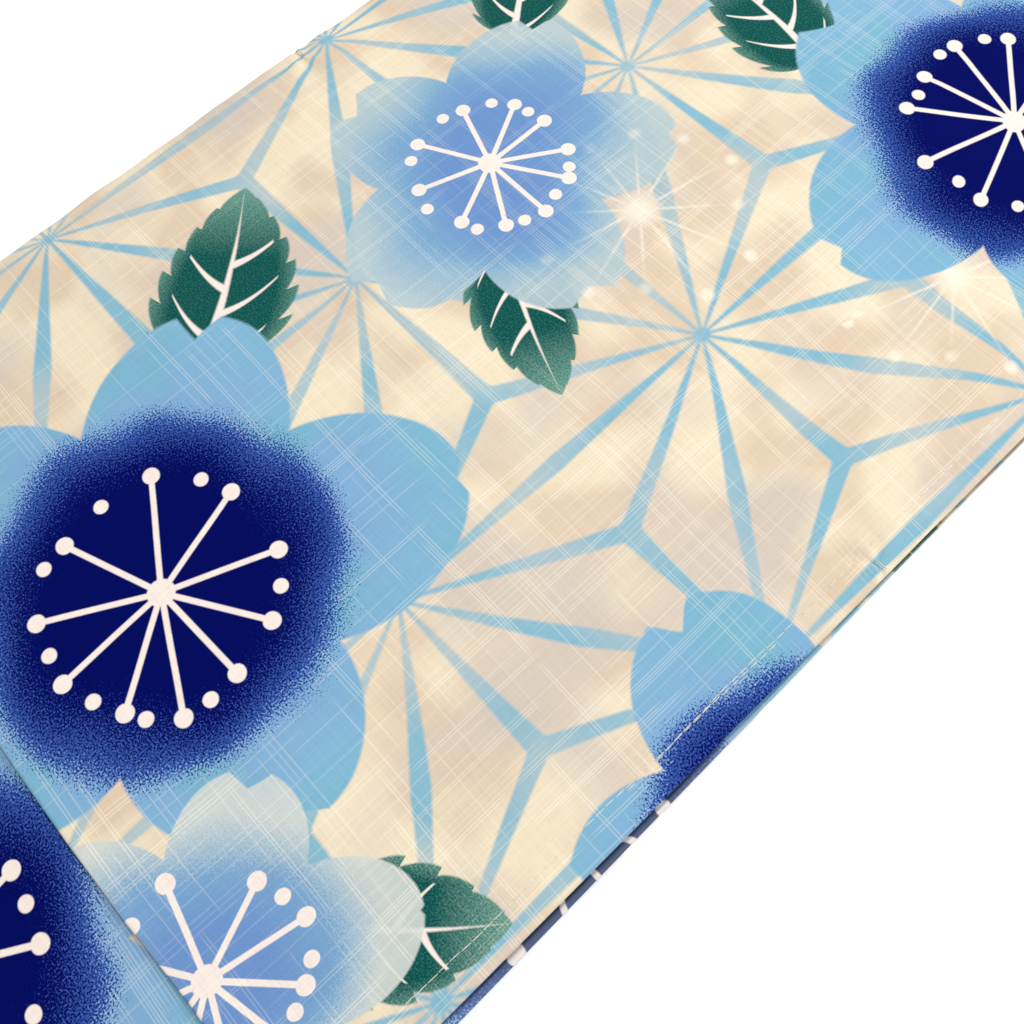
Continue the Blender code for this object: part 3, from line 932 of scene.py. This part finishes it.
def edge_wave(along):
    """The armhole edge is soft and wavers along its length."""
    return MM * (0.45 * math.sin(along * 0.95 + 0.4) + 0.30 * math.sin(along * 2.1 + 1.9))


print("creases", len(SLEEVE_CREASES) + len(BACK_CREASES))


# %% [markdown]
# ## Sewing a sheet from a grid
# Every piece of cloth starts as a flat grid. Its points are moved to where the cloth lies, its UV map
# keeps the place of each thread on the flat cloth, doubles are merged where two edges are sewn,
# and Solidify gives the sheet its thickness.

# %% Sheet maker
def finish_sheet(sheet, thickness):
    """Merges sewn edges, thickens the sheet and smooths it."""
    bpy.ops.object.mode_set(mode="EDIT")
    bpy.ops.mesh.select_all(action="SELECT")
    bpy.ops.mesh.remove_doubles(threshold=0.00004)
    bpy.ops.object.mode_set(mode="OBJECT")
    bpy.ops.object.modifier_add(type="SOLIDIFY")
    wall = sheet.modifiers[-1]
    wall.thickness = thickness
    wall.offset = 0.0
    wall.use_even_offset = False
    bpy.ops.object.modifier_apply(modifier=wall.name)
    bpy.ops.object.shade_smooth_by_angle(angle=math.radians(50))


def sew_sheet(name, rows, columns, lie, threads, material, thickness=SHEET):
    """A sheet with a point for each row and column: lie gives its place, threads its place in cloth."""
    deselect()
    bpy.ops.mesh.primitive_grid_add(x_subdivisions=len(rows) - 1, y_subdivisions=len(columns) - 1,
                                    size=1.0, calc_uvs=True)
    sheet = bpy.context.object
    sheet.name = sheet.data.name = name
    mesh = sheet.data
    cloth = []
    for point in mesh.vertices:
        row = rows[round((point.co.x + 0.5) * (len(rows) - 1))]
        column = columns[round((point.co.y + 0.5) * (len(columns) - 1))]
        cloth.append(threads(row, column))
        point.co = lie(row, column)
    flat = mesh.uv_layers[0]
    flat.name = "cloth"
    for corner in mesh.loops:
        flat.data[corner.index].uv = cloth[corner.vertex_index]
    finish_sheet(sheet, thickness)
    mesh.materials.append(material)
    print(name, "triangles", sum(len(face.vertices) - 2 for face in mesh.polygons))
    return sheet


def spaced(low, high, step):
    """Places from low to high about a step apart."""
    count = max(round((high - low) / step), 1)
    return together(low + (high - low) * k / count for k in range(count + 1))


def together(*parts):
    """The places of several lists in one, in order and without doubles."""
    return sorted({round(value, 6) for part in parts for value in part})


def wear(piece, node, slot_name, **sheet_facts):
    """Rides a sheet on the robe in the place of a node and hides that node's solid; the cut it is given
    is not used.
    """
    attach(piece, "root")
    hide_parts(node)


print("a sheet is", SHEET / MM, "mm thick")


# %% [markdown]
# ## Sleeves
# A sleeve is one strip of cloth, folded at the shoulder. Its end is sewn, and so is its cuff edge up
# to a tack; above the tack it stays open for the hand. Lying flat it is a bag with two sheets.

# %% Sleeve shape
def round_edge(distance):
    """Share of the bag's half height at a distance in from a fold: a quarter circle."""
    inside = 1.0 - min(max(distance, 0.0) / (BAG_GAP / 2.0), 1.0)
    return math.sqrt(max(1.0 - inside * inside, 0.0))


def cuff_line(cuff_y, up_sleeve):
    """y of a cuff edge at a distance up from the sleeve's end."""
    turned = max(OPEN_CUFF_Y - cuff_y, 0.0) * min(up_sleeve / TACK_UP, 1.0)
    rise = max(SLEEVE_CORNER - up_sleeve, 0.0)
    return cuff_y + turned + SLEEVE_CORNER - math.sqrt(SLEEVE_CORNER ** 2 - rise ** 2)


def bag_half(up_sleeve, from_cuff):
    """Half the room between a sleeve's two sheets."""
    cuff_open = soft_step((up_sleeve - TACK_UP) / 0.022)
    ends = round_edge(up_sleeve) * round_edge(SLEEVE_LENGTH - up_sleeve)
    sewn = round_edge(from_cuff)
    loose = OPEN_EDGE_SHARE + (1.0 - OPEN_EDGE_SHARE) * sewn
    return BAG_GAP / 2.0 * ends * (sewn + (loose - sewn) * cuff_open)


def sleeve_point(strip, y_plain, cuff_y, arm_y, rest, top_sleeve):
    """Where a point of a sleeve's strip lies: strip runs from the end over the shoulder and back."""
    under = strip > SLEEVE_LENGTH
    up_sleeve = 2.0 * SLEEVE_LENGTH - strip if under else strip
    x = SLEEVE_END_X + up_sleeve
    edge = cuff_line(cuff_y, up_sleeve)
    squeeze = (CENTRE_Y - edge) / (CENTRE_Y - cuff_y)
    inner = min(y_plain, arm_y)
    y = max(inner, CENTRE_Y) + min(inner - CENTRE_Y, 0.0) * squeeze
    half = bag_half(up_sleeve, y_plain - cuff_y)
    z = rest(x, y) + SEAM_GAP + CLOTH / 2.0 + BAG_GAP / 2.0
    share = half / (BAG_GAP / 2.0)
    if under:
        return Vector((x, y, z - half))
    along, across = up_sleeve / CM, (arm_y + ROLL_WIDTH - y) / CM
    if top_sleeve:
        lift = crease_height(SLEEVE_CREASES, along, across) + slow_waves(along, across)
        lift += pucker_height(SLEEVE_TACKS, along, across) + hem_height(across)
    else:
        # A groove under the top sleeve's cuff, which shows as a thin dark gap
        lift = -1.7 * MM * math.exp(-((y - CUFF_Y + 0.0004) / 0.0006) ** 2)
    out = max(y_plain - arm_y, 0.0)
    if out and top_sleeve:
        attached = soft_step((up_sleeve - TACK_UP) / 0.024 + 0.5)
        drop = ROLL_AT_SLIT + (ROLL_AT_ARMHOLE - ROLL_AT_SLIT) * attached
        bend = min(out / ROLL_WIDTH, 1.0)
        y += ROLL_WIDTH * math.sin(bend * math.pi / 2.0) + edge_wave(along) * bend
        z -= drop * (1.0 - math.cos(bend * math.pi / 2.0))
    return Vector((x, y, z + half + lift * share))


print("half of the bag at the tack", round(bag_half(TACK_UP, 0.02) / MM, 2), "mm")

# %% Left sleeve
EDGE_STEPS = (0.0, 0.0001, 0.0003, 0.0006, 0.0010, 0.0016)
sleeve_ends = together(EDGE_STEPS, (SLEEVE_LENGTH - step for step in EDGE_STEPS))
top_rows = together(sleeve_ends, spaced(0.0, SLEEVE_LENGTH, 0.0026),
                    spaced(TACK_UP - 0.022, TACK_UP + 0.022, 0.0013))
low_rows = together((2.0 * SLEEVE_LENGTH - value for value in sleeve_ends[:-1]),
                    (2.0 * SLEEVE_LENGTH - value
                     for value in spaced(0.004, SLEEVE_LENGTH - 0.004, 0.009)))
sleeve_columns = together(spaced(CUFF_Y, SIDE_Y, 0.0028), (CUFF_Y + step for step in EDGE_STEPS),
                          (SIDE_Y + ROLL_WIDTH * k / 4.0 for k in range(5)),
                          spaced(CUFF_Y + 0.002, CUFF_Y + 0.012, 0.0015),
                          spaced(CUFF_Y + 0.012, CUFF_Y + 0.015, 0.0005))

left_sleeve = sew_sheet(
    "left_sleeve_cloth", top_rows + low_rows, sleeve_columns,
    lambda strip, y: sleeve_point(strip, y, CUFF_Y, SIDE_Y, upper_rest, True),
    lambda strip, y: (strip, eased(SIDE_Y + ROLL_WIDTH - y)), sleeve_cotton)
wear(left_sleeve, "left_sleeve", "printed_cotton", flat=(SLEEVE_WIDTH, 2.0 * SLEEVE_LENGTH),
     held="folded", rests_on=["left_back"])

# %% Right sleeve
right_rows = together(spaced(0.0, SLEEVE_LENGTH, 0.008), sleeve_ends)
right_columns = together(spaced(LOWER_CUFF_Y, LOWER_ARM_Y, 0.008),
                         (LOWER_CUFF_Y + step for step in EDGE_STEPS),
                         spaced(LOWER_CUFF_Y + 0.002, CUFF_Y + 0.0025, 0.0004))
right_back_rows = together(2.0 * SLEEVE_LENGTH - value for value in right_rows[:-1])
right_sleeve = sew_sheet(
    "right_sleeve_cloth", right_rows + right_back_rows, right_columns,
    lambda strip, y: sleeve_point(strip, y, LOWER_CUFF_Y, LOWER_ARM_Y, lower_rest, False),
    lambda strip, y: (strip, SIDE_Y - y), under_cotton)
wear(right_sleeve, "right_sleeve", "printed_cotton_under", flat=(SLEEVE_WIDTH, 2.0 * SLEEVE_LENGTH),
     held="folded", rests_on=["right_back"])


# %% [markdown]
# ## Body panels
# The body is folded at the waist, so each panel runs from the hem, under the pile, round the waist
# and back to the shoulder. A panel's depth says how far in from the outer face it lies.

# %% Body panel shape
BEND_X = -0.41
BEND_RUN = 0.03
CURL_RADIUS = 0.0008
SHOULDER_CURL = 0.0010


def body_point(run, y, depth, hem_x):
    """Where a point lies: run is metres of cloth from the hem, with the bend after BEND_X."""
    half = lower_top(y) + between(ALONG, WAIST_X) * MM / 2.0
    centre_x = WAIST_X + half
    lower_run = hem_x - BEND_X
    if run <= lower_run:
        x = hem_x - run * (hem_x - centre_x) / lower_run
        return Vector((x, y, depth(x, y, False)))
    if run <= lower_run + BEND_RUN:
        angle = math.pi * (run - lower_run) / BEND_RUN
        radius = half - depth(WAIST_X, y, False)
        return Vector((centre_x - radius * math.sin(angle), y, half - radius * math.cos(angle)))
    x = centre_x + (run - lower_run - BEND_RUN)
    return Vector((x, y, pile_top(x, y) - depth(x, y, True)))


def layer_at(x, y, top_half):
    """Room for the fronts at a place of the upper or the lower half."""
    return upper_layer(x, y) if top_half else hidden_layer(y)


def curl(distance, radius):
    """How far an edge has turned in towards the panel that it is sewn to: 1 at the edge itself."""
    inside = max(1.0 - distance / radius, 0.0)
    return 1.0 - math.sqrt(max(1.0 - inside * inside, 0.0))


def back_depth(x, y, top_half, plain):
    """Depth of a back: plain in its middle, and half way to the other back at its seams.

    The outer back, which lies less deep than its seams, also turns in at the shoulder.
    """
    seam = CLOTH + layer_at(x, y, top_half) / 2.0
    turned = curl(y - CENTRE_Y, CURL_RADIUS)
    side = curl(SIDE_Y - y, CURL_RADIUS) * 0.55
    depth = plain + (seam - plain) * max(turned * 0.9, side)
    if top_half and plain < seam:
        depth += (seam - plain) * 0.8 * curl(SHOULDER_X - x, SHOULDER_CURL) * (1.0 - turned)
    return depth


def outer_depth(x, y, top_half):
    """Depth of the left back, the outermost cloth."""
    return back_depth(x, y, top_half, CLOTH / 2.0)


def inner_depth(x, y, top_half):
    """Depth of the right back, the innermost cloth of each half."""
    return back_depth(x, y, top_half, CLOTH * 1.5 + layer_at(x, y, top_half))


def back_lie(run, y, depth, hem_x, creased):
    """A point of a back panel, with the creases of the top where they show."""
    point = body_point(run, y, depth, hem_x)
    on_top = run > hem_x - BEND_X + BEND_RUN
    if creased and on_top and point.x < SLEEVE_END_X:
        free = soft_step((SLEEVE_END_X - point.x) / 0.03) * soft_step((point.x - WAIST_X) / 0.03)
        along, across = (point.x - SLEEVE_END_X) / CM, (SIDE_Y + ROLL_WIDTH - y) / CM
        edge = soft_step((y - CENTRE_Y) / 0.02)
        lift = crease_height(BACK_CREASES, along, across) + slow_waves(along, across)
        point.z += lift * free * edge
    return point


CURL_STEPS = (0.00008, 0.0003, 0.0006, 0.001)
back_columns = together(spaced(CENTRE_Y, SIDE_Y, 0.006), (CENTRE_Y + step for step in CURL_STEPS),
                        (SIDE_Y - step for step in CURL_STEPS))


def panel_rows(hem_x, shoulder_x):
    """Rows from the hem round the waist to the shoulder, close together where the cloth bends."""
    bend = hem_x - BEND_X
    half = lower_top(0.03) + between(ALONG, WAIST_X) * MM / 2.0
    last = bend + BEND_RUN + shoulder_x - (WAIST_X + half)
    return together(spaced(0.0, bend, 0.012), spaced(bend, bend + BEND_RUN, 0.002),
                    spaced(bend + BEND_RUN, last, 0.006), (last - step for step in EDGE_STEPS[1:-1]))


print("back panel", len(panel_rows(HEM_X, SHOULDER_X)), "rows", len(back_columns), "columns")

# %% Back panels
BACK_START = 0.705
INNER_HEM_X = HEM_X - 2.0 * HEM_STEP

left_back = sew_sheet(
    "left_back_cloth", panel_rows(HEM_X, SHOULDER_X), back_columns,
    lambda run, y: back_lie(run, y, outer_depth, HEM_X, True),
    lambda run, y: (run - BACK_START, SIDE_Y + ROLL_WIDTH - y), back_cotton)
right_back = sew_sheet(
    "right_back_cloth", panel_rows(INNER_HEM_X, SHOULDER_X), back_columns,
    lambda run, y: back_lie(run, y, inner_depth, INNER_HEM_X, False),
    lambda run, y: (run, SIDE_Y - y), right_cotton)
wear(left_back, "left_back", "printed_cotton", flat=(BACK_WIDTH, BACK_LENGTH),
     held="folded", rests_on=["floor"])
wear(right_back, "right_back", "printed_cotton_under", flat=(BACK_WIDTH, BACK_LENGTH),
     held="folded", rests_on=["folded_fronts"])


# %% [markdown]
# ## Fronts and overlaps
# Between the backs lie two fronts and two narrow overlap panels, folded flat. In the solid they
# are one rounded layer. Here each is a sheet of its own, so the pile shows its leaves at the edges.

# %% Fronts and overlaps
def layer_depth(share):
    """Depth of a hidden sheet at a share of the way through the layer."""
    def depth(x, y, top_half):
        room = max(layer_at(x, y, top_half) - 2.0 * SEAM_GAP, 0.0001)
        return CLOTH + SEAM_GAP + share * room
    return depth


FRONT_SHEETS = (
    # name, share of the layer, lowest and highest y, steps that the hem is set back, cotton
    ("left_front_cloth", 0.13, -0.084, 0.1600, 1.0, front_cotton),
    ("left_overlap_cloth", 0.38, -0.062, 0.0840, 1.5, overlap_cotton),
    ("right_overlap_cloth", 0.62, -0.066, 0.0800, 1.8, overlap_cotton),
    ("right_front_cloth", 0.87, -0.082, 0.1595, 1.3, front_cotton),
)
for name, share, low_y, high_y, back_steps, cotton in FRONT_SHEETS:
    hem_x = HEM_X - back_steps * HEM_STEP
    shoulder_x = SHOULDER_X - HEM_STEP * (1.0 if high_y > 0.1 else 1.6)
    columns = spaced(low_y, high_y, 0.012)
    piece = sew_sheet(name, panel_rows(hem_x, shoulder_x), columns,
                      lambda run, y: body_point(run, y, layer_depth(share), hem_x),
                      lambda run, y: (run, high_y - y), cotton, thickness=0.0004)
    wear(piece, "folded_fronts", "folded_cotton", flat=(round(high_y - low_y, 4), FRONT_LENGTH),
         held="folded", rests_on=["right_back"])


# %% [markdown]
# ## Collar
# The collar band lies flat where it leaves the neck, with a stiff white core inside a cover of the
# same print. The cover is one strip folded over the core's outer edge.

# %% Collar shape
COLLAR_HALF = (0.0014 + CLOTH) / 2.0 + SEAM_GAP
COLLAR_SEAM_X = SHOULDER_X + 0.0008
CORE_INSET = 0.0032


def quarter_round(share):
    """1 at share 0, falling to 0 at share 1 on a quarter circle."""
    return math.sqrt(max(1.0 - max(share, 0.0) ** 2, 0.0))


def collar_edge(share):
    """x of the collar's folded edge at a share of its way from the centre back."""
    return COLLAR_SEAM_X + COLLAR_REACH * (1.0 - share ** 3.2) ** 0.5


def collar_point(share_y, share_x, edge_in, raised):
    """A point of the collar at shares of its width and reach, raised above its middle."""
    start_x = COLLAR_SEAM_X + edge_in
    y = CENTRE_Y + edge_in + (NECK_HALF_WIDTH - 2.0 * edge_in) * share_y
    reach = max(collar_edge(share_y) - edge_in - start_x, 0.0012)
    x = start_x + reach * share_x
    down = soft_step((x - SHOULDER_X) / COLLAR_REACH)
    high = lower_top(y) + between(ALONG, SHOULDER_X) * MM - 0.0006
    low = lower_top(y) + SEAM_GAP
    return Vector((x, y, high + (low - high) * down + CLOTH / 2.0 + COLLAR_HALF + raised))


def cover_point(strip, share_y):
    """Strip runs from the upper neck seam at 0, round the folded edge at 1, and back at 2."""
    share_x = min(strip, 2.0 - strip)
    half = COLLAR_HALF * quarter_round((share_x - 0.93) / 0.07)
    half *= quarter_round((0.035 - share_y) / 0.035) * quarter_round((share_y - 0.90) / 0.09)
    return collar_point(share_y, share_x, 0.0, half if strip <= 1.0 else -half)


print("collar is", round(2.0 * COLLAR_HALF / MM, 1), "mm thick")

# %% Collar cover and core
cover_shares = together(spaced(0.0, 0.93, 0.1), (0.95, 0.965, 0.98, 0.99, 0.996, 1.0))
cover_rows = together(cover_shares, (2.0 - share for share in cover_shares))
cover_columns = together(spaced(0.0, 0.99, 0.03), (0.004, 0.012, 0.022, 0.035, 0.92, 0.945, 0.965, 0.98))
collar_cover = sew_sheet(
    "collar_cover_cloth", cover_rows, cover_columns, cover_point,
    lambda strip, share: (share * NECK_HALF_WIDTH, strip * COLLAR_REACH), collar_cotton)
wear(collar_cover, "collar_cover", "printed_cotton", flat=(0.073, NECK_HALF_WIDTH),
     held="folded", rests_on=["collar"], area=0.0050)

collar_core = sew_sheet(
    "collar_core_cloth", spaced(0.0, 1.0, 0.08), spaced(0.0, 0.80, 0.04),
    lambda share_x, share_y: collar_point(share_y, share_x, CORE_INSET, 0.0),
    lambda share_x, share_y: (share_y * NECK_HALF_WIDTH, share_x * COLLAR_REACH),
    core_cotton, thickness=0.0013)
wear(collar_core, "collar", "collar_cotton", flat=(0.030, 0.067), held="laid",
     rests_on=["collar_cover_cloth"])


# %% [markdown]
# ## Stitches
# The cuff's hem is held by a row of small white stitches, and a bar tack closes the opening at each
# edge. One stitch is modelled as a short round thread with soft ends, and copies follow the hem.

# %% Stitch maker
THREAD_RADIUS = 0.00016
STITCH_STEP = 0.44


def sleeve_top(along, across):
    """Height of the top sleeve's outer face at a place in cm."""
    y = SIDE_Y + ROLL_WIDTH - across * CM
    point = sleeve_point(along * CM, y, CUFF_Y, SIDE_Y, upper_rest, True)
    return point + Vector((0.0, 0.0, SHEET / 2.0))


def sew_stitches(name, ends):
    """Short threads from one place to another on the top sleeve, joined into one mesh."""
    made = []
    for first, second, lift in ends:
        a, b = sleeve_top(*first), sleeve_top(*second)
        middle = (a + b) / 2.0 + Vector((0.0, 0.0, lift))
        deselect()
        bpy.ops.mesh.primitive_uv_sphere_add(segments=6, ring_count=6, radius=1.0, location=middle)
        stitch = bpy.context.object
        line = b - a
        stitch.rotation_euler = line.to_track_quat("X", "Z").to_euler()
        stitch.scale = (line.length / 2.0, THREAD_RADIUS, THREAD_RADIUS)
        bpy.ops.object.transform_apply(location=True, rotation=True, scale=True)
        bpy.ops.object.shade_smooth()
        made.append(stitch)
    deselect()
    for stitch in made:
        stitch.select_set(True)
    bpy.context.view_layer.objects.active = made[0]
    bpy.ops.object.join()
    row = bpy.context.object
    row.name = row.data.name = name
    row.data.materials.append(sewing_thread)
    print(name, len(ends), "stitches")
    return row


def hem_row(start_cm, stop_cm, in_cm, share, phase):
    """Stitches along the cuff, a little uneven; share is their length as a share of the step."""
    ends = []
    up_cm = start_cm
    while up_cm < stop_cm:
        length = STITCH_STEP * share * (0.98 + 0.02 * math.sin(up_cm * 5.1 + phase))
        fine = 0.012 * math.sin(up_cm * 3.7 + phase)
        first, second = ((end, in_cm + (0.035 * math.sin(end * 0.9 + phase) + fine))
                         for end in (up_cm, up_cm + length))
        ends.append((first, second, 0.00004))
        up_cm += STITCH_STEP
    return ends


print("cuff's hem at the tack", [round(value, 4) for value in sleeve_top(TACK_UP / CM, CUFF_HEM)])

# %% Hem and tacks
first_row = hem_row(0.8, 50.0, CUFF_HEM, 1.10, 0.0)
second_row = hem_row(14.0, 21.0, CUFF_HEM + 0.07, 0.98, 1.7)
cuff_stitches = sew_stitches("cuff_hem_stitches", first_row + second_row)
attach(cuff_stitches, "root")

tack_ends = []
for step in range(4):
    up_cm = TACK_UP / CM - 0.12 + 0.08 * step
    edge_cm = SLEEVE_WIDTH / CM
    tack_ends.append(((up_cm, edge_cm - 0.62), (up_cm + 0.05, edge_cm - 0.08), 0.00006))
for step in range(3):
    up_cm = TACK_UP / CM - 0.08 + 0.09 * step
    tack_ends.append(((up_cm, 0.34), (up_cm - 0.04, 0.86), 0.00006))
tacks = sew_stitches("sleeve_tacks", tack_ends)
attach(tacks, "root")
